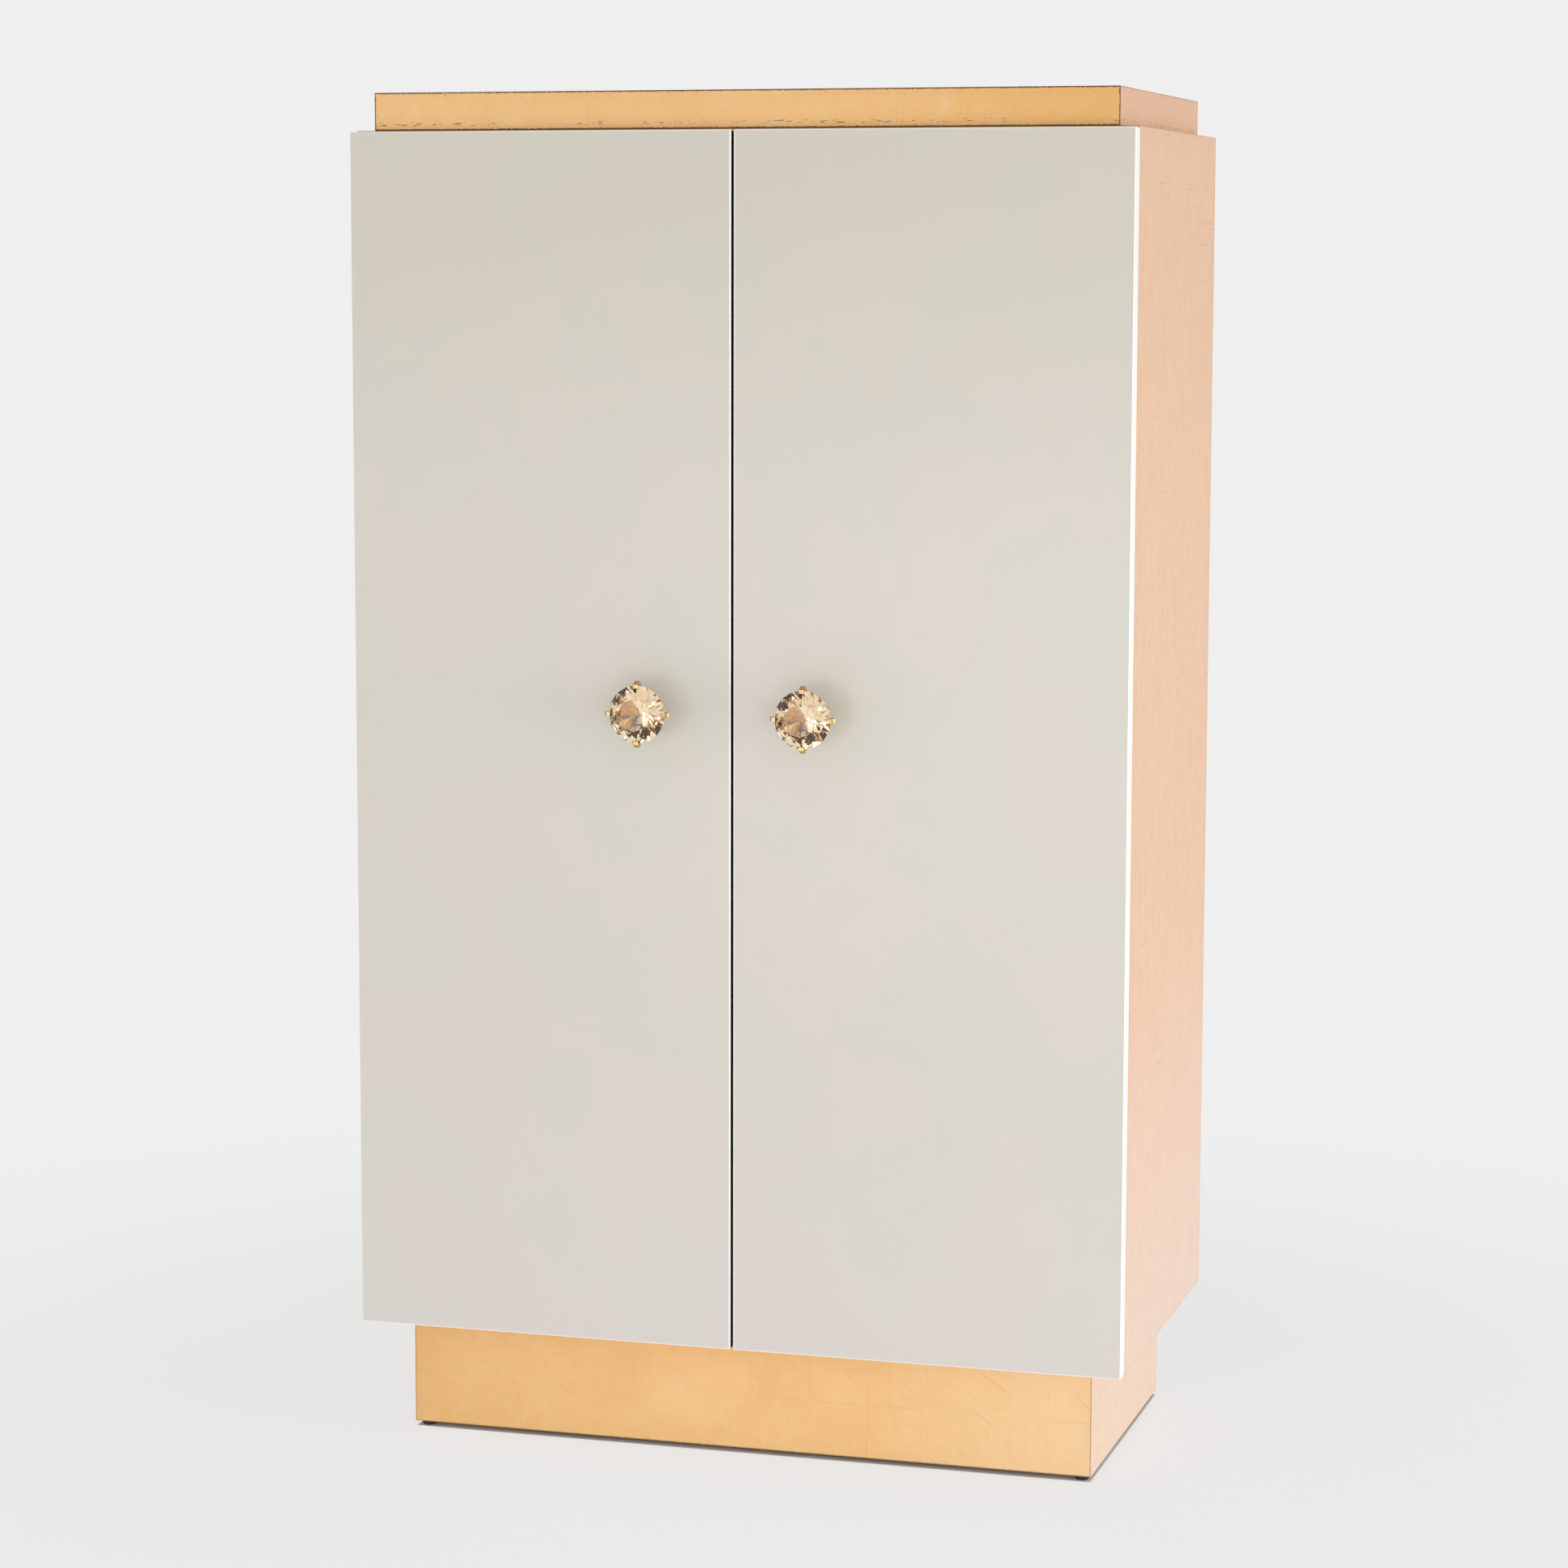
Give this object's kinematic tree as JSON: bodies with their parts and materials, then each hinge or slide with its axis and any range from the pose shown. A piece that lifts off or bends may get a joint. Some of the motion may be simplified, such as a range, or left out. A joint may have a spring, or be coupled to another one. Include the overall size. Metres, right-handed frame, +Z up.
{
  "type": "armoire",
  "caption": "Tall freestanding wardrobe with full-overlay slab doors on concealed hinges, faceted crystal knobs, a gilded case and cap, and a recessed plinth.",
  "frame": {"origin": "on the floor, under the middle of the bounding box", "axes": "+X to the viewer's right when facing the doors, -Y out of the doors, +Z up"},
  "size_m": [1.062, 0.6274, 1.83],
  "materials": {
    "lacquer": "satin lacquer, pale warm grey",
    "gilt": "gold leaf over wood, softly mottled",
    "dark_wood": "dark stained, satin",
    "crystal": "clear champagne tint, faceted and polished",
    "brass": "polished",
    "steel": "bright plated",
    "black_nylon": "matte black"
  },
  "bodies": {
    "case": {"case_side_left": "gilt", "case_side_right": "gilt", "case_top_panel": "gilt", "case_bottom_panel": "gilt", "case_back_panel": "dark_wood", "hat_shelf": "dark_wood", "lower_shelf": "dark_wood", "rod_socket_left": "brass", "rod_socket_right": "brass", "hanging_rod": "brass", "cap_front_rail": "gilt", "cap_back_rail": "gilt", "cap_left_rail": "gilt", "cap_right_rail": "gilt", "cap_board": "gilt", "plinth_front": "gilt", "plinth_back": "gilt", "plinth_left": "gilt", "plinth_right": "gilt", "plinth_block_front_left": "dark_wood", "glide_front_left": "black_nylon", "plinth_block_back_left": "dark_wood", "glide_back_left": "black_nylon", "plinth_block_front_right": "dark_wood", "glide_front_right": "black_nylon", "plinth_block_back_right": "dark_wood", "glide_back_right": "black_nylon", "hinge_arm_left_1": "steel", "hinge_arm_left_2": "steel", "hinge_arm_left_3": "steel", "hinge_arm_right_1": "steel", "hinge_arm_right_2": "steel", "hinge_arm_right_3": "steel"},
    "left_door": {"door_left": "lacquer", "knob_crystal_left": "crystal", "knob_setting_left": "brass", "knob_screw_left": "steel", "hinge_cup_left_1": "steel", "hinge_cup_left_2": "steel", "hinge_cup_left_3": "steel"},
    "right_door": {"door_right": "lacquer", "knob_crystal_right": "crystal", "knob_setting_right": "brass", "knob_screw_right": "steel", "hinge_cup_right_1": "steel", "hinge_cup_right_2": "steel", "hinge_cup_right_3": "steel"},
    "left_outer_links": {"hinge_outer_link_left_1": "steel", "hinge_outer_link_left_2": "steel", "hinge_outer_link_left_3": "steel"},
    "right_outer_links": {"hinge_outer_link_right_1": "steel", "hinge_outer_link_right_2": "steel", "hinge_outer_link_right_3": "steel"},
    "left_inner_links": {"hinge_inner_link_left_1": "steel", "hinge_inner_link_left_2": "steel", "hinge_inner_link_left_3": "steel"},
    "right_inner_links": {"hinge_inner_link_right_1": "steel", "hinge_inner_link_right_2": "steel", "hinge_inner_link_right_3": "steel"}
  },
  "joints": [
    {"name": "left_outer_link_fold", "type": "hinge", "parent": "case", "child": "left_outer_links", "pos_m": [-0.50038, -0.21599, 0.97], "axis": [0, 0, -1], "range_deg": [-63.1, 0]},
    {"name": "left_door_swing", "type": "hinge", "parent": "left_outer_links", "child": "left_door", "pos_m": [-0.52014, -0.22631, 0.97], "axis": [0, 0, -1], "range_deg": [0, 157.8]},
    {"name": "left_inner_link_fold", "type": "hinge", "parent": "left_door", "child": "left_inner_links", "pos_m": [-0.52171, -0.22135, 0.97], "axis": [0, 0, -1], "range_deg": [-128.73, 0]},
    {"name": "right_outer_link_fold", "type": "hinge", "parent": "case", "child": "right_outer_links", "pos_m": [0.50038, -0.21599, 0.97], "axis": [0, 0, 1], "range_deg": [-63.1, 0]},
    {"name": "right_door_swing", "type": "hinge", "parent": "right_outer_links", "child": "right_door", "pos_m": [0.52014, -0.22631, 0.97], "axis": [0, 0, 1], "range_deg": [0, 157.8]},
    {"name": "right_inner_link_fold", "type": "hinge", "parent": "right_door", "child": "right_inner_links", "pos_m": [0.52171, -0.22135, 0.97], "axis": [0, 0, 1], "range_deg": [-128.73, 0]}
  ],
  "couplings": [
    {"joint": "left_outer_link_fold", "follows": "left_door_swing", "ratio": -0.39799},
    {"joint": "left_inner_link_fold", "follows": "left_door_swing", "ratio": -0.81386},
    {"joint": "right_outer_link_fold", "follows": "right_door_swing", "ratio": -0.39799},
    {"joint": "right_inner_link_fold", "follows": "right_door_swing", "ratio": -0.81386}
  ]
}
